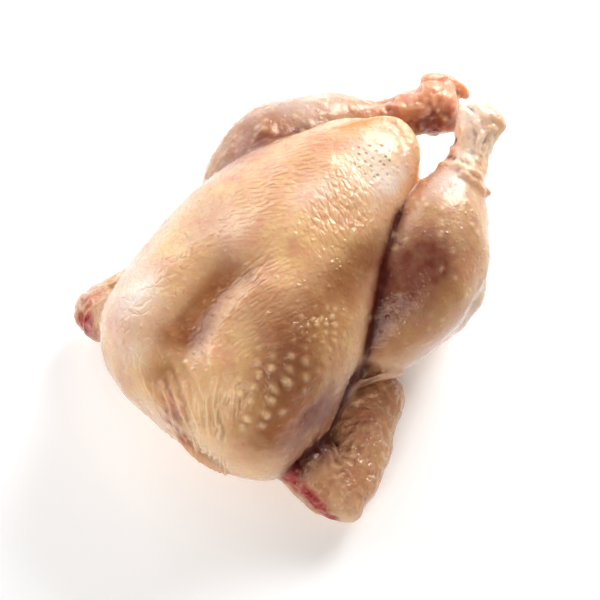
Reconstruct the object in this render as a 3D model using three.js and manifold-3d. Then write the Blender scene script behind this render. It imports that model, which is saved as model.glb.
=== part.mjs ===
// A whole raw chicken, plucked and trimmed, lying on its back with the breast up.
// Its wings are folded and its drumsticks lie along the breast, with the hocks drawn together.
// Millimetres. +Y runs from the neck to the tail, +X is the bird's right side, +Z is up.
// The origin is the middle of the small flat spot that the back rests on.
import * as THREE from "three";
import { mergeVertices } from "three/addons/utils/BufferGeometryUtils.js";
import Module from "manifold-3d";

// ---- Driving dimensions ----

// The trunk's two masses, station by station from the neck to the tail:
// x of the middle, y, half width, z of the top, z of the widest place, z of the bottom.
const BREAST = [
  [6, -117.5, 58, 88.5, 46, 18],
  [4, -90, 64.5, 95, 42.5, 3.5],
  [1, -54.5, 68, 101, 41.5, -1.5],
  [-3.5, -18.5, 64, 103.5, 46, 1.5],
  [-7, 15.5, 52, 102, 52.5, 10],
  [-8, 46, 34.5, 98, 63, 29],
  [-2.5, 77.5, 18.5, 90, 76.5, 58],
];
const BACK = [
  [0, -85, 44, 54.5, 30.5, -2.5],
  [0, -42.5, 53.5, 59.5, 28, -2.5],
  [0, 0, 51, 59.5, 27, -2.5],
  [0, 34, 42.5, 56, 25.5, -2.5],
  [0, 61, 22, 42.5, 23, 3.5],
  [0, 83.5, 7, 29, 24.5, 20.5],
];

// The limbs, station by station: x, y, z of the middle, half width, half depth.
const RIGHT_DRUMSTICK = [
  [49.5, -27, 35.5, 21, 20.5],
  [52.5, 1.5, 47.5, 28, 26.5],
  [50, 30.5, 56, 32, 28],
  [40.5, 59.5, 62.5, 24, 23],
  [32.5, 85, 67, 11.5, 11],
  [24.5, 102, 71.5, 11, 10.5],
  [19.5, 117.5, 75, 13, 10],
];
const LEFT_DRUMSTICK = [
  [-39, -13.5, 34, 20.5, 20.5],
  [-51, 10, 39.5, 25.5, 26.5],
  [-53.5, 35.5, 45.5, 26.5, 29.5],
  [-42.5, 63, 52, 18.5, 19.5],
  [-26.5, 83.5, 53.5, 9.5, 10],
  [-13.5, 98.5, 53, 11, 13.5],
  [0.5, 120.5, 53.5, 15.5, 16],
];
const RIGHT_THIGH = [
  [48.5, -8, 27, 16, 18.5],
  [54, 15.5, 27, 22.5, 22],
  [52, 41, 28, 23.5, 24],
  [37.5, 61, 25.5, 22, 18.5],
];
const RIGHT_HIP = [
  [51, -4, 36, 14, 15.5],
  [57, 32, 40, 26, 19],
  [52, 62, 43, 20, 16],
];
const RIGHT_FOREARM = [
  [95, -90, 13, 12.5, 10],
  [88.5, -68, 14.5, 16, 12],
  [77.5, -42.5, 15.5, 16, 13],
  [65.5, -11, 18.5, 13, 11],
];
const LEFT_FOREARM = [
  [-75, -98.5, 17, 11, 9.5],
  [-67, -76.5, 18, 13.5, 12],
  [-58.5, -52.5, 19.5, 13.5, 13],
  [-53.5, -22, 20.5, 12, 10],
];
const RIGHT_UPPER_ARM = [
  [58, -75, 37.5, 16, 14.5],
  [73, -79, 24.5, 15.5, 13],
  [86.5, -81, 16, 13, 12],
  [96, -84, 13.5, 9.5, 8.5],
];
const LEFT_UPPER_ARM = [
  [-51, -84, 37.5, 15.5, 13.5],
  [-61, -87.5, 26.5, 13.5, 12],
  [-69.5, -90, 18.5, 12, 11],
  [-76.5, -93.5, 17, 7.5, 7.5],
];
// The skin that fills the fold between the right upper arm and forearm.
const RIGHT_WING_SKIN = [
  [69.5, -83.5, 22, 12, 8.5],
  [78, -68, 18, 12, 7.5],
  [68, -25.5, 18.5, 7.5, 7],
];

// The left thigh and hip mirror the right ones, a little closer to the middle and the tail.
const LEFT_THIGH_SHIFT = [5, 2.5, 0];

// The valley over the breastbone, between the two lobes of the front half.
const VALLEY = { x: 1.5, y: -89, depth: 11, halfWidth: 17, halfLength: 36 };

// How far each mass is rounded off at its two ends, as a share of its length,
// and how blunt that rounding is: 2 is an ellipse, and more is blunter.
const ENDS = {
  breast: { first: 0.21, last: 0.16, bluntness: 2.8 },
  back: { first: 0.2, last: 0.12, bluntness: 2 },
  drumstick: { first: 0.12, last: 0.07, bluntness: 2 },
  thigh: { first: 0.3, last: 0.4, bluntness: 2 },
  hip: { first: 0.4, last: 0.4, bluntness: 2 },
  forearm: { first: 0.14, last: 0.14, bluntness: 2 },
  upperArm: { first: 0.2, last: 0.2, bluntness: 2 },
  wingSkin: { first: 0.3, last: 0.5, bluntness: 2 },
};

// The trunk's sections are superellipses: an exponent of 1 is an ellipse, and less is squarer.
const BREAST_SQUARENESS = 0.9;
const BACK_SQUARENESS = 0.85;

// How finely each mass is faceted: round its section, and along its length.
const FACETS = {
  breast: [44, 30],
  back: [28, 14],
  drumstick: [22, 26],
  thigh: [18, 12],
  hip: [16, 8],
  forearm: [16, 14],
  upperArm: [14, 10],
  wingSkin: [12, 8],
};

const FLOOR_CUT = { size: 400, depth: 20 };
const DIRECTION_STEP = 0.005;
const WELD = 1e-4;

const SKIN = { color: 0xe0b48e, roughness: 0.38, metalness: 0 };

// ---- Curves through the stations ----

// The row of numbers at t, from 0 to 1, on a Catmull-Rom curve through evenly spaced rows.
function rowAt(rows, t) {
  const last = rows.length - 1;
  const s = THREE.MathUtils.clamp(t, 0, 1) * last;
  const i = Math.min(Math.floor(s), last - 1);
  const f = s - i;
  const row = (k) => {
    if (k < 0) return rows[0].map((v, j) => 2 * v - rows[1][j]);
    if (k > last) return rows[last].map((v, j) => 2 * v - rows[last - 1][j]);
    return rows[k];
  };
  const [p0, p1, p2, p3] = [i - 1, i, i + 1, i + 2].map(row);
  return p1.map((v, j) => {
    const slope = p2[j] - p0[j];
    const bend = 2 * p0[j] - 5 * v + 4 * p2[j] - p3[j];
    const twist = 3 * v - p0[j] - 3 * p2[j] + p3[j];
    return v + 0.5 * f * (slope + f * (bend + f * twist));
  });
}

// The share of its full section that a mass keeps at t, as its ends round off to a point.
function rounding(t, { first, last, bluntness }) {
  const falloff = (reach, distance) => {
    const share = THREE.MathUtils.clamp((reach - distance) / reach, 0, 1);
    return (1 - share ** bluntness) ** (1 / bluntness);
  };
  return falloff(first, t) * falloff(last, 1 - t);
}

const signedPower = (v, power) => Math.sign(v) * Math.abs(v) ** power;

// ---- Closed skins ----

// A unit sphere whose poles become the two ends of a mass. Each vertex is moved to place(t, angle):
// t runs from 0 at the first end to 1 at the last, and angle goes round the section.
function skin([around, along], place) {
  const geometry = new THREE.SphereGeometry(1, around, along);
  const at = geometry.getAttribute("position");
  for (let i = 0; i < at.count; i += 1) {
    const t = 0.5 * (1 - at.getY(i));
    const angle = Math.atan2(at.getZ(i), at.getX(i));
    const point = place(t, angle);
    at.setXYZ(i, point.x, point.y, point.z);
  }
  return geometry;
}

// The trunk's masses lie along Y, and the upper and lower half of a section have their own height.
// Press lowers the upper skin by press(x, y) at the crest of the section, and by nothing at its sides.
function trunkSkin(rows, ends, squareness, facets, press = () => 0) {
  return skin(facets, (t, angle) => {
    const [middle, y, halfWidth, top, widest, bottom] = rowAt(rows, t);
    const share = rounding(t, ends);
    const height = Math.sin(angle) > 0 ? top - widest : widest - bottom;
    const x = middle + halfWidth * share * signedPower(Math.cos(angle), squareness);
    const z = widest + height * share * signedPower(Math.sin(angle), squareness);
    return new THREE.Vector3(x, y, z - press(x, y) * Math.max(Math.sin(angle), 0));
  });
}

// A limb is an ellipse carried along its middle line. Its width stays level.
function limbSkin(rows, ends, facets) {
  const middle = (t) => new THREE.Vector3(...rowAt(rows, t).slice(0, 3));
  const up = new THREE.Vector3(0, 0, 1);
  return skin(facets, (t, angle) => {
    const [halfWidth, halfDepth] = rowAt(rows, t).slice(3);
    const forward = middle(t + DIRECTION_STEP).sub(middle(t - DIRECTION_STEP)).normalize();
    const side = new THREE.Vector3().crossVectors(forward, up).normalize();
    const over = new THREE.Vector3().crossVectors(side, forward);
    const share = rounding(t, ends);
    return middle(t)
      .addScaledVector(side, halfWidth * share * Math.cos(angle))
      .addScaledVector(over, halfDepth * share * Math.sin(angle));
  });
}

function valleyDepth(x, y) {
  const across = (x - VALLEY.x) / VALLEY.halfWidth;
  const along = (y - VALLEY.y) / VALLEY.halfLength;
  return VALLEY.depth * Math.exp(-across * across - along * along);
}

const mirrored = (rows, [dx, dy, dz]) =>
  rows.map(([x, y, z, ...halves]) => [dx - x, y + dy, z + dz, ...halves]);

// ---- Joining the masses into one body ----

const wasm = await Module();
wasm.setup();

// A closed three.js geometry as a solid, its faces turned outwards.
function solid(geometry) {
  const bare = geometry.clone();
  bare.deleteAttribute("normal");
  bare.deleteAttribute("uv");
  const welded = mergeVertices(bare, WELD);
  const vertProperties = new Float32Array(welded.getAttribute("position").array);
  const index = welded.getIndex().array;
  const corners = [];
  for (let i = 0; i < index.length; i += 3) {
    const [a, b, c] = index.slice(i, i + 3);
    if (a !== b && b !== c && c !== a) corners.push([a, b, c]);
  }
  const make = (faces) => {
    const triVerts = new Uint32Array(faces.flat());
    return new wasm.Manifold(new wasm.Mesh({ numProp: 3, vertProperties, triVerts }));
  };
  const made = make(corners);
  return made.volume() > 0 ? made : make(corners.map(([a, b, c]) => [a, c, b]));
}

function geometryOf(body) {
  const { vertProperties, triVerts, numProp } = body.getMesh();
  const geometry = new THREE.BufferGeometry();
  const positions = new Float32Array((vertProperties.length / numProp) * 3);
  for (let i = 0; i < positions.length / 3; i += 1) {
    for (let k = 0; k < 3; k += 1) positions[3 * i + k] = vertProperties[numProp * i + k];
  }
  geometry.setAttribute("position", new THREE.BufferAttribute(positions, 3));
  geometry.setIndex(new THREE.BufferAttribute(new Uint32Array(triVerts), 1));
  geometry.computeVertexNormals();
  return geometry;
}

function everythingBelowTheFloor() {
  const { size, depth } = FLOOR_CUT;
  return new THREE.BoxGeometry(size, size, depth).translate(0, 0, -depth / 2);
}

const limb = (rows, kind) => limbSkin(rows, ENDS[kind], FACETS[kind]);

const back = trunkSkin(BACK, ENDS.back, BACK_SQUARENESS, FACETS.back);
const skins = [
  back,
  limb(RIGHT_THIGH, "thigh"),
  limb(mirrored(RIGHT_THIGH, LEFT_THIGH_SHIFT), "thigh"),
  limb(RIGHT_HIP, "hip"),
  limb(mirrored(RIGHT_HIP, LEFT_THIGH_SHIFT), "hip"),
  limb(RIGHT_DRUMSTICK, "drumstick"),
  limb(LEFT_DRUMSTICK, "drumstick"),
  limb(RIGHT_UPPER_ARM, "upperArm"),
  limb(LEFT_UPPER_ARM, "upperArm"),
  limb(RIGHT_WING_SKIN, "wingSkin"),
  limb(RIGHT_FOREARM, "forearm"),
  limb(LEFT_FOREARM, "forearm"),
];

const breast = trunkSkin(BREAST, ENDS.breast, BREAST_SQUARENESS, FACETS.breast, valleyDepth);
const whole = skins
  .reduce((body, next) => body.add(solid(next)), solid(breast))
  .subtract(solid(everythingBelowTheFloor()));

const chicken = new THREE.Mesh(geometryOf(whole), new THREE.MeshStandardMaterial(SKIN));
chicken.name = "chicken";

const part = new THREE.Group();
part.add(chicken);

export default part;
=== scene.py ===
# %% [markdown]
# # A whole raw chicken
# The bird is plucked and dressed, and lies on its back with the breast up. Its wings are folded at
# the shoulders, and the two drumsticks lie along the breast with the bare hocks drawn together.
# +Z is up, +Y runs from the neck to the tail and +X is the bird's right side. All sizes below are in
# millimetres, and become metres only when a mesh is written.

import math

import bpy
import numpy as np
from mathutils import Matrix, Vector


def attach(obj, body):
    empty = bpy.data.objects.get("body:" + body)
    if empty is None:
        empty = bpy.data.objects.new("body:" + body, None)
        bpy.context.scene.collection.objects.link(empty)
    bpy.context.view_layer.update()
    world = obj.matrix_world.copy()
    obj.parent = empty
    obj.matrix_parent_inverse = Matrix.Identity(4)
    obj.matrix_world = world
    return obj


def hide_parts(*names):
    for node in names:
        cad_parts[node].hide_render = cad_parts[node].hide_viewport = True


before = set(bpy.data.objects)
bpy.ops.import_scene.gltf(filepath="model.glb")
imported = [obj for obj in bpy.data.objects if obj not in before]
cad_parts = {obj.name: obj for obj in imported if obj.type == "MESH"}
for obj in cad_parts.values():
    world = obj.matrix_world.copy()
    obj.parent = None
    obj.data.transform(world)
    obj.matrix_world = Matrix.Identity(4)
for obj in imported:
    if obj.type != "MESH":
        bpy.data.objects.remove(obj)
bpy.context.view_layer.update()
MM = 0.001

# %% [markdown]
# ## The masses under the skin
# A bird's body is a few big muscles and bones with one skin stretched over them. Sculpting would give
# that by hand, but a table of stations is easier to check and change: each row is a section, and a
# smooth curve runs through the rows. The trunk is the breast and the back, and every limb is an
# ellipse carried along its own middle line.

# %% Stations of the trunk and the limbs
# x of the middle, y, half width, z of the top, z of the widest place, z of the bottom.
BREAST = [
    [6, -117.5, 58, 88.5, 46, 18], [4, -90, 64.5, 95, 42.5, 3.5], [1, -54.5, 68, 101, 41.5, -1.5],
    [-3.5, -18.5, 64, 103.5, 46, 1.5], [-7, 15.5, 52, 102, 52.5, 10], [-8, 46, 34.5, 98, 63, 29],
    [-2.5, 77.5, 18.5, 90, 76.5, 58],
]
BACK = [
    [0, -85, 44, 54.5, 30.5, -2.5], [0, -42.5, 53.5, 59.5, 28, -2.5], [0, 0, 51, 59.5, 27, -2.5],
    [0, 34, 42.5, 56, 25.5, -2.5], [0, 61, 22, 42.5, 23, 3.5], [0, 83.5, 7, 29, 24.5, 20.5],
]
# x, y, z of the middle, half width, half depth.
RIGHT_DRUMSTICK = [
    [49.5, -27, 35.5, 21, 20.5], [52.5, 1.5, 47.5, 28, 26.5], [50, 30.5, 56, 32, 28],
    [40.5, 59.5, 62.5, 24, 23], [32.5, 85, 67, 11.5, 11], [24.5, 102, 71.5, 11, 10.5],
    [19.5, 117.5, 75, 13, 10],
]
LEFT_DRUMSTICK = [
    [-39, -13.5, 34, 20.5, 20.5], [-51, 10, 39.5, 25.5, 26.5], [-53.5, 35.5, 45.5, 26.5, 29.5],
    [-42.5, 63, 52, 18.5, 19.5], [-26.5, 83.5, 53.5, 9.5, 10], [-13.5, 98.5, 53, 11, 13.5],
    [0.5, 120.5, 53.5, 15.5, 16],
]
RIGHT_THIGH = [
    [48.5, -8, 27, 16, 18.5], [54, 15.5, 27, 22.5, 22], [52, 41, 28, 23.5, 24],
    [37.5, 61, 25.5, 22, 18.5],
]
RIGHT_HIP = [
    [51, -4, 36, 14, 15.5], [57, 32, 40, 26, 19], [52, 62, 43, 20, 16],
]
RIGHT_FOREARM = [
    [95, -90, 13, 12.5, 10], [88.5, -68, 14.5, 16, 12], [77.5, -42.5, 15.5, 16, 13],
    [65.5, -11, 18.5, 13, 11],
]
LEFT_FOREARM = [
    [-75, -98.5, 17, 11, 9.5], [-67, -76.5, 18, 13.5, 12], [-58.5, -52.5, 19.5, 13.5, 13],
    [-53.5, -22, 20.5, 12, 10],
]
RIGHT_UPPER_ARM = [
    [58, -75, 37.5, 16, 14.5], [73, -79, 24.5, 15.5, 13], [86.5, -81, 16, 13, 12],
    [96, -84, 13.5, 9.5, 8.5],
]
LEFT_UPPER_ARM = [
    [-51, -84, 37.5, 15.5, 13.5], [-61, -87.5, 26.5, 13.5, 12], [-69.5, -90, 18.5, 12, 11],
    [-76.5, -93.5, 17, 7.5, 7.5],
]
RIGHT_WING_SKIN = [
    [69.5, -83.5, 22, 12, 8.5], [78, -68, 18, 12, 7.5], [68, -25.5, 18.5, 7.5, 7],
]
LEFT_THIGH_SHIFT = (5, 2.5, 0)

# Loose ends of skin, as limbs of their own: the thin web from the right thigh to the breast, the left
# hock's knuckle with the cut strip curled over it, the hanging drop of the right cuff, the edge of the
# breast's tip and the lip of the neck skin.
LOOSE_SKIN = {
    "web": [
        [77, -12, 42, 3, 4], [71.5, -23, 45.5, 1.2, 4.5], [67.5, -33, 48.5, 1.1, 4.5],
        [61, -43, 52, 3, 5],
    ],
    "knuckle": [[-18, 106, 57, 9, 10], [-9, 112, 56, 12, 11], [-2, 117, 53, 11, 11]],
    "hock_strip": [
        [-20, 112, 65, 2.6, 2.6], [-14, 119, 63, 3.6, 2.8], [-5, 124.5, 58, 4.2, 2.7],
        [1.5, 127, 52, 3, 2.4],
    ],
    "cuff_drop": [[44, 80, 71, 3, 2.5], [47.5, 83, 68, 2.2, 2.2], [50, 85, 64, 1.8, 1.8]],
    "tip_edge": [
        [-20, 57, 87, 4, 4], [-14, 68, 84, 4, 3.5], [-5, 75, 83, 4, 3.4], [6, 72, 83, 4, 3.4],
        [15, 63, 79, 4, 4],
    ],
    "neck_lip": [
        [8, -112, 52, 5, 4], [22, -115, 46, 5, 4], [36, -113.5, 41, 5, 4.2], [50, -106, 38, 4, 4],
    ],
}

BREAST_SQUARENESS, BACK_SQUARENESS = 0.9, 0.85  # powers of the sections: 1 is an ellipse, 0 a box
print(len(BREAST) + len(BACK), "stations of the trunk,", len(LOOSE_SKIN), "loose ends of skin")

# %% [markdown]
# ## From stations to closed shells
# Muscle has no facets, so the rows are only guides: a Catmull-Rom curve passes through every one. Bezier
# curves lofted by hand would do too, but a grid of numpy points follows from a formula. Each mass gets a
# closed shell of its own, and the shells may overlap.

# %% Curves and sections
ALONG, AROUND = 260, 240  # stations along a mass, and points round each
T = (0.5 * (1 - np.cos(np.linspace(0, np.pi, ALONG))))[:, None]  # from 0 to 1, closer at both ends
ANGLE = np.linspace(0, 2 * np.pi, AROUND, endpoint=False)[None, :]


def row_at(rows, t):
    """The row at t, from 0 to 1: a Catmull-Rom curve through the rows, straight on past its ends."""
    v = np.asarray(rows, float)
    last = len(v) - 1
    s = np.clip(t, 0, 1) * last
    i = np.minimum(s.astype(int), last - 1)
    f = (s - i)[..., None]
    v = np.vstack([2 * v[0] - v[1], v, 2 * v[-1] - v[-2]])
    p0, p1, p2, p3 = v[i], v[i + 1], v[i + 2], v[i + 3]
    bend = 2 * p0 - 5 * p1 + 4 * p2 - p3
    twist = 3 * p1 - p0 - 3 * p2 + p3
    return p1 + 0.5 * f * ((p2 - p0) + f * (bend + f * twist))


def rounded(t, ends):
    """The share of its full section left at t: an ellipse's quarter at each end, of exponent blunt."""
    first, last, blunt = ends
    head = np.clip((first - t) / first, 0, 1)
    tail = np.clip((t - 1 + last) / last, 0, 1)
    return (1 - head**blunt) ** (1 / blunt) * (1 - tail**blunt) ** (1 / blunt)


def signed_power(v, power):
    return np.sign(v) * np.abs(v) ** power


def trunk_grid(rows, ends, squareness):
    """A superellipse across X and Z at each y. Its upper and lower half have their own height."""
    middle, y, half, top, widest, bottom = np.moveaxis(row_at(rows, T), -1, 0)
    share = rounded(T, ends)
    height = np.where(np.sin(ANGLE) > 0, top - widest, widest - bottom)
    x = middle + half * share * signed_power(np.cos(ANGLE), squareness)
    z = widest + height * share * signed_power(np.sin(ANGLE), squareness)
    return np.stack([x, y + 0 * x, z], -1)


def directions(run):
    """Unit vectors along the run, level across it, and square to both."""
    run = run / np.linalg.norm(run, axis=1, keepdims=True)
    side = np.cross(run, [0, 0, 1])
    side /= np.linalg.norm(side, axis=1, keepdims=True)
    return run, side, np.cross(side, run)


def limb_grid(rows, ends):
    """middle(t) + half width cos(a) side + half depth sin(a) over. Side is level, square to the run."""
    t, nudge = T[:, 0], 0.005
    row = row_at(rows, t)
    _, side, over = directions(row_at(rows, t + nudge)[:, :3] - row_at(rows, t - nudge)[:, :3])
    across = (row[:, 3:4] * np.cos(ANGLE))[..., None] * side[:, None, :]
    deep = (row[:, 4:5] * np.sin(ANGLE))[..., None] * over[:, None, :]
    return row[:, None, :3] + rounded(T, ends)[..., None] * (across + deep)


def mirrored(rows, shift):
    return [[shift[0] - x, y + shift[1], z + shift[2], *halves] for x, y, z, *halves in rows]


print("a section of the breast:", row_at(BREAST, np.array([0.5]))[0].round(1).tolist())


# %% Grid to closed shell
def shell(grid):
    """Corners and quads of a tube grid, closed by one corner at each pole."""
    along, around = grid.shape[:2]
    ring = grid[1:-1].reshape(-1, 3)
    corners = np.vstack([ring, grid[0].mean(0), grid[-1].mean(0)])
    i = np.arange(along - 3)[:, None] * around
    j = np.arange(around)[None, :]
    k = (j + 1) % around
    quads = np.stack([i + j, i + k, i + around + k, i + around + j], -1).reshape(-1, 4)
    first, last = len(ring), len(ring) + 1
    end = (along - 3) * around
    caps = [[first, (n + 1) % around, n] for n in range(around)]
    caps += [[last, end + n, end + (n + 1) % around] for n in range(around)]
    return corners, quads, caps


LEFT_THIGH, LEFT_HIP = (mirrored(rows, LEFT_THIGH_SHIFT) for rows in (RIGHT_THIGH, RIGHT_HIP))
# How much of each end rounds off, as a share of the length, and how bluntly (2 is an ellipse).
BREAST_ENDS, BACK_ENDS = (0.21, 0.16, 2.8), (0.2, 0.12, 2.0)
LIMBS = [  # the ends in the same way, and the limbs that have them
    ((0.3, 0.4, 2.0), RIGHT_THIGH, LEFT_THIGH),
    ((0.4, 0.4, 2.0), RIGHT_HIP, LEFT_HIP),
    ((0.12, 0.07, 2.0), RIGHT_DRUMSTICK, LEFT_DRUMSTICK),
    ((0.2, 0.2, 2.0), RIGHT_UPPER_ARM, LEFT_UPPER_ARM),
    ((0.3, 0.5, 2.0), RIGHT_WING_SKIN),
    ((0.14, 0.14, 2.0), RIGHT_FOREARM, LEFT_FOREARM),
    ((0.15, 0.15, 2.0), *LOOSE_SKIN.values()),
]
grids = [trunk_grid(BREAST, BREAST_ENDS, BREAST_SQUARENESS), trunk_grid(BACK, BACK_ENDS, BACK_SQUARENESS)]
grids += [limb_grid(rows, ends) for ends, *limbs in LIMBS for rows in limbs]
corners, faces, start = [], [], 0
for grid in grids:
    more, sides, caps = shell(grid)
    faces += (sides + start).tolist() + (np.array(caps) + start).tolist()
    corners.append(more)
    start += len(more)
corners = np.vstack(corners)
print(len(grids), "masses,", len(corners), "corners")

# %% [markdown]
# ## One skin
# A bird has one skin over all its masses. A boolean union would keep each sharp join and fail where
# surfaces nearly touch. Remesh with voxels wraps everything that overlaps in one even net of quads.

# %% One skin round all of them
VOXEL = 0.8  # mm, fine enough for feather bumps 2 mm wide


def mesh_object(name, points_mm, polygons):
    mesh = bpy.data.meshes.new(name)
    mesh.from_pydata((points_mm * MM).tolist(), [], polygons)
    mesh.update()
    made = bpy.data.objects.new(name, mesh)
    bpy.context.scene.collection.objects.link(made)
    return made


masses = mesh_object("masses", corners, faces)
wrap = masses.modifiers.new("one_skin", "REMESH")
wrap.mode, wrap.voxel_size, wrap.adaptivity = "VOXEL", VOXEL * MM, 0
evaluated = masses.evaluated_get(bpy.context.evaluated_depsgraph_get())
wrapped = evaluated.to_mesh()
points = np.empty(3 * len(wrapped.vertices))
wrapped.vertices.foreach_get("co", points)
points = points.reshape(-1, 3) / MM
quads = np.empty(len(wrapped.loops), int)
wrapped.loops.foreach_get("vertex_index", quads)
quads = quads.reshape(-1, 4)
evaluated.to_mesh_clear()
bpy.data.objects.remove(masses)
print("one skin of", len(points), "corners and", len(quads), "quads")

# %% [markdown]
# ## Softening where the masses meet
# Flesh doesn't meet in a sharp notch: the skin bridges the join. A bevel needs an edge to work on,
# and a plain smooth would thin the shanks and wings. Here each point moves towards the middle of its
# neighbours, outwards only, so hollows fill up like a fillet and everything convex stays. The clefts
# that are really there, such as the one between breast and leg, are kept by a weight.

# %% Neighbours, normals and masks
# Both ends of every edge of the quads, each edge once.
edges = np.sort(np.vstack([quads[:, [k, (k + 1) % 4]] for k in range(4)]), axis=1)
START, END = np.unique(edges, axis=0).T
VALENCE = np.bincount(START, minlength=len(points)) + np.bincount(END, minlength=len(points))
print(len(START), "edges")


def neighbour_mean(values):
    """The mean over a point's edges of the value at their other end."""
    columns = values.reshape(len(points), -1).T
    sums = [
        np.bincount(START, c[END], len(points)) + np.bincount(END, c[START], len(points))
        for c in columns
    ]
    return (np.array(sums) / VALENCE).T.reshape(values.shape)


def normals_of(places):
    """Unit normals: the sum of the cross products of the diagonals of a point's quads."""
    a, b, c, d = (places[quads[:, k]] for k in range(4))
    face = np.cross(c - a, d - b)
    total = np.array(
        [sum(np.bincount(quads[:, k], face[:, i], len(places)) for k in range(4)) for i in range(3)]
    ).T
    return total / np.linalg.norm(total, axis=1, keepdims=True)


def near(centre, reach):
    """1 at the centre, falling as a bell to 1/e at reach, which is one size or one each in x, y and z."""
    away = (points - np.array(centre)) / np.array(reach)
    return np.exp(-(away**2).sum(axis=1))


def near_path(stops, reach, places=None):
    """1 on the straight runs between the stops, falling as a bell to 1/e at reach."""
    places = points if places is None else places
    stops = np.array(stops, float)
    best = np.full(len(places), np.inf)
    for a, b in zip(stops[:-1], stops[1:]):
        run = b - a
        share = np.clip((places - a) @ run / (run @ run), 0, 1)
        away = ((places - a - share[:, None] * run) ** 2).sum(axis=1)
        best = np.minimum(best, away)
    return np.exp(-best / reach**2)


def step(values, low, high):
    """0 below low, 1 above high, and smooth between them. High may be the smaller one."""
    t = np.clip((values - low) / (high - low), 0, 1)
    return t * t * (3 - 2 * t)


# %% Soften the joins, and keep the clefts
RIGHT_CLEFT = [(18, 60, 84), (27, 38, 80), (36, 18, 82), (50, -3, 76), (57, -14, 69), (61, -24, 63)]
RIGHT_WING_CLEFT = [(66, -40, 46), (68, -51, 38), (71, -65, 34), (70, -84, 38)]
LEFT_CLEFT = [(-10, 72, 68), (-30, 50, 72), (-46, 25, 70), (-60, -10, 62)]
LEFT_WING_CLEFT = [(-62, -60, 30), (-55, -92, 36)]
LOOSE_EDGES = [
    [(79, -8, 40), (64, -47, 48)], [(-15, 114, 66), (4, 126, 56)], [(8, -112, 50), (36, -113, 38)],
]
clefts = [RIGHT_CLEFT, RIGHT_WING_CLEFT, LEFT_CLEFT, LEFT_WING_CLEFT, *LOOSE_EDGES]
CLEFT_REACH = 8
keep = np.max([near_path(c, CLEFT_REACH) for c in clefts], axis=0)
before = points
for _ in range(2):  # takes the voxels' steps off
    points = 0.5 * (points + neighbour_mean(points))
FILL_ROUNDS, ROUNDS_PER_NORMAL, FILL_PULL, CLEFT_KEPT = 60, 6, 0.9, 0.93
weight = (FILL_PULL * (1 - CLEFT_KEPT * keep))[:, None]
for n in range(FILL_ROUNDS):  # each point moves outwards, never inwards, towards its neighbours' middle
    if n % ROUNDS_PER_NORMAL == 0:
        outward = normals_of(points)
    pull = neighbour_mean(points) - points
    rise = (pull * outward).sum(axis=1, keepdims=True)
    points = points + weight * (pull - np.minimum(rise, 0) * outward)
print("joins filled by up to", round(np.linalg.norm(points - before, axis=1).max(), 1), "mm")

# %% [markdown]
# ## Where things are on the bird
# The skin is one mesh now, so each feature has to be told where it belongs. Painting masks by hand is
# usual; here a mask is worked out from how far a point is from a limb's middle line, and how far along
# it. Charts unroll the breast, and later the neck folds, into millimetres across and along.

# %% Charts and limbs
LIMB_REACH, LINE_POINTS = 1.6, 120


def limb_frame(rows):
    """For each point: t along the limb's middle line, and its distance out as a share of the section
    there. Points further out than LIMB_REACH get a share of LIMB_REACH."""
    line = row_at(rows, np.linspace(0, 1, LINE_POINTS))
    centre, halves = line[:, :3], line[:, 3:]
    run, side, over = directions(np.gradient(centre, axis=0))
    room = halves.max() * LIMB_REACH
    inside = ((points > centre.min(0) - room) & (points < centre.max(0) + room)).all(axis=1)
    some = points[inside]
    away = (some**2).sum(1)[:, None] + (centre**2).sum(1)[None, :] - 2 * some @ centre.T
    nearest = away.argmin(axis=1)
    offset = some - centre[nearest]
    across = (offset * side[nearest]).sum(1) / halves[nearest, 0]
    deep = (offset * over[nearest]).sum(1) / halves[nearest, 1]
    past = (offset * run[nearest]).sum(1) / halves[nearest].mean(1)
    t, share = np.zeros(len(points)), np.full(len(points), LIMB_REACH)
    t[inside] = nearest / (len(centre) - 1)
    share[inside] = np.minimum(np.sqrt(across**2 + deep**2 + past**2), LIMB_REACH)
    return t, share


def on(*shares):
    """1 on the skin of any of these limbs, falling to 0 a third of a section further out."""
    return 1 - step(np.min(shares, axis=0), 1.06, 1.3)


right_t, right_share = limb_frame(RIGHT_DRUMSTICK)
left_t, left_share = limb_frame(LEFT_DRUMSTICK)
right_leg = on(right_share, limb_frame(RIGHT_THIGH)[1], limb_frame(RIGHT_HIP)[1])
left_leg = on(left_share, limb_frame(LEFT_THIGH)[1], limb_frame(LEFT_HIP)[1])
right_wing = on(*[limb_frame(rows)[1] for rows in (RIGHT_FOREARM, RIGHT_UPPER_ARM, RIGHT_WING_SKIN)])
left_wing = on(*[limb_frame(rows)[1] for rows in (LEFT_FOREARM, LEFT_UPPER_ARM)])
right_wing *= step(points[:, 0], 60, 68)  # the wings begin outside the trunk's sides
left_wing *= step(points[:, 0], -48, -56)
legs, wings = np.maximum(right_leg, left_leg), np.maximum(right_wing, left_wing)
BREAST_AXIS, BREAST_RADIUS = (1, 42), 60  # x and z of a line along Y, and the radius round it
breast_u = BREAST_RADIUS * np.arctan2(points[:, 0] - BREAST_AXIS[0], points[:, 2] - BREAST_AXIS[1])
breast_v = points[:, 1]
breast = step(points[:, 2], 30, 46) * (1 - legs) * (1 - wings)
print("shares of the skin: legs", round(legs.mean(), 2), "wings", round(wings.mean(), 2))

# %% [markdown]
# ## Noise and bumps
# Nothing on a bird repeats exactly. A Displace modifier with a texture would do, but numpy's numbers
# can be measured and masked first. Gradient noise gives slow waves. One bell in each cell of a lattice
# gives bumps, and on a chart they stand in staggered rows, as feathers grow.


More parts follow.
